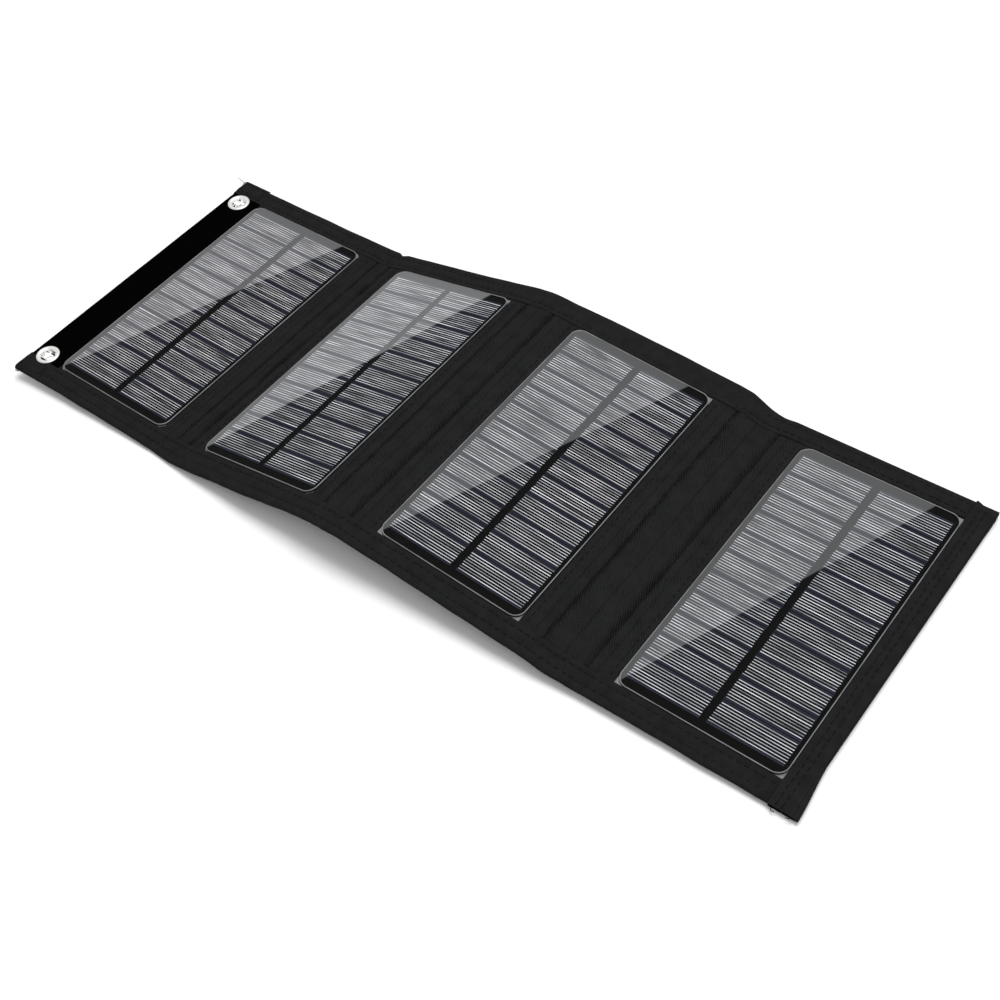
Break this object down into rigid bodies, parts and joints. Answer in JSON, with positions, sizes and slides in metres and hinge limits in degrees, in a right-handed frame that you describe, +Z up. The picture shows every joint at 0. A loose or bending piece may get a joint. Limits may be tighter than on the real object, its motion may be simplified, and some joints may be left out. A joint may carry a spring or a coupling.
{
  "type": "folding solar charger",
  "caption": "Folding fabric solar charger: glossy solar modules in a hemmed black fabric strip that folds like an accordion, with eyelets at one end and an output box behind.",
  "frame": {"origin": "centre of the bounding box's underside, on the ground plane under the strip at rest", "axes": "+X along the strip from the eyelet end to the bound end, +Y across the strip, +Z up out of the module faces"},
  "size_m": [0.428, 0.165, 0.0195],
  "materials": {
    "cover_fabric": "fine black polyester weave",
    "back_fabric": "black polyester weave",
    "hem_fabric": "black ribbed binding, two stitch lines",
    "binding_tape": "black ribbed tape, two stitch lines",
    "pile_band": "deep black pile",
    "sleeve_fabric": "black polyester weave",
    "stiffener_board": "light grey board",
    "module_backsheet": "black laminate",
    "solar_cell": "dark blue-black silicon with fine silver fingers",
    "clear_resin": "clear glossy front layer",
    "wire_jacket": "black flat wire",
    "nickel": "bright nickel plate",
    "box_plastic": "fine moulded texture",
    "circuit_laminate": "green solder mask",
    "socket_steel": "bright tinned steel",
    "coil_ferrite": "dark ferrite",
    "lamp_red": "red translucent"
  },
  "bodies": {
    "panel_1": {"front_cover_1": "cover_fabric", "back_cover_1": "back_fabric", "stiffener_1": "stiffener_board", "module_backsheet_1": "module_backsheet", "solar_cells_1": "solar_cell", "module_clear_layer_1": "clear_resin", "edge_hems_panel_1": "hem_fabric", "bus_wires_panel_1": "wire_jacket", "end_band": "pile_band", "corner_patches": "hem_fabric", "eyelet_fronts": "nickel", "eyelet_washers": "nickel"},
    "panel_2": {"front_cover_2": "cover_fabric", "back_cover_2": "back_fabric", "stiffener_2": "stiffener_board", "module_backsheet_2": "module_backsheet", "solar_cells_2": "solar_cell", "module_clear_layer_2": "clear_resin", "edge_hems_panel_2": "hem_fabric", "bus_wires_panel_2": "wire_jacket"},
    "panel_3": {"front_cover_3": "cover_fabric", "back_cover_3": "back_fabric", "stiffener_3": "stiffener_board", "module_backsheet_3": "module_backsheet", "solar_cells_3": "solar_cell", "module_clear_layer_3": "clear_resin", "edge_hems_panel_3": "hem_fabric", "bus_wires_panel_3": "wire_jacket", "box_sleeve": "sleeve_fabric", "box_base": "box_plastic", "box_lid": "box_plastic", "circuit_board": "circuit_laminate", "usb_socket": "socket_steel", "converter_coil": "coil_ferrite", "status_lamp": "lamp_red"},
    "panel_4": {"front_cover_4": "cover_fabric", "back_cover_4": "back_fabric", "stiffener_4": "stiffener_board", "module_backsheet_4": "module_backsheet", "solar_cells_4": "solar_cell", "module_clear_layer_4": "clear_resin", "edge_hems_panel_4": "hem_fabric", "bus_wires_panel_4": "wire_jacket", "right_end_binding": "binding_tape"},
    "spine_1": {"spine_fabric_1": "cover_fabric", "edge_hems_spine_1": "hem_fabric", "bus_wires_spine_1": "wire_jacket"},
    "spine_2": {"spine_fabric_2": "cover_fabric", "edge_hems_spine_2": "hem_fabric", "bus_wires_spine_2": "wire_jacket"},
    "spine_3": {"spine_fabric_3": "cover_fabric", "edge_hems_spine_3": "hem_fabric", "bus_wires_spine_3": "wire_jacket"}
  },
  "joints": [
    {"name": "fold_1", "type": "hinge", "parent": "panel_2", "child": "spine_1", "pos_m": [-0.10283, 0, 0.00206], "axis": [0, 1, 0], "range_deg": [-6.25, 83.75]},
    {"name": "fold_1_outer", "type": "hinge", "parent": "spine_1", "child": "panel_1", "pos_m": [-0.11181, 0, 0.00147], "axis": [0, 1, 0], "range_deg": [-6.26, 83.76]},
    {"name": "fold_2", "type": "hinge", "parent": "panel_3", "child": "spine_2", "pos_m": [0.00081, 0, 0.01803], "axis": [0, -1, 0], "range_deg": [-8.15, 81.85]},
    {"name": "fold_2_outer", "type": "hinge", "parent": "spine_2", "child": "panel_2", "pos_m": [-0.01519, 0, 0.01752], "axis": [0, -1, 0], "range_deg": [-8.16, 81.86]},
    {"name": "fold_3", "type": "hinge", "parent": "panel_3", "child": "spine_3", "pos_m": [0.09772, 0, 0.00734], "axis": [0, -1, 0], "range_deg": [-2.7, 92.7]},
    {"name": "fold_3_outer", "type": "hinge", "parent": "spine_3", "child": "panel_4", "pos_m": [0.11846, 0, 0.00405], "axis": [0, -1, 0], "range_deg": [-2.41, 82.21]}
  ],
  "couplings": [
    {"joint": "fold_1_outer", "follows": "fold_1", "ratio": 1},
    {"joint": "fold_2_outer", "follows": "fold_2", "ratio": 1},
    {"joint": "fold_3_outer", "follows": "fold_3", "ratio": 0.8867}
  ]
}
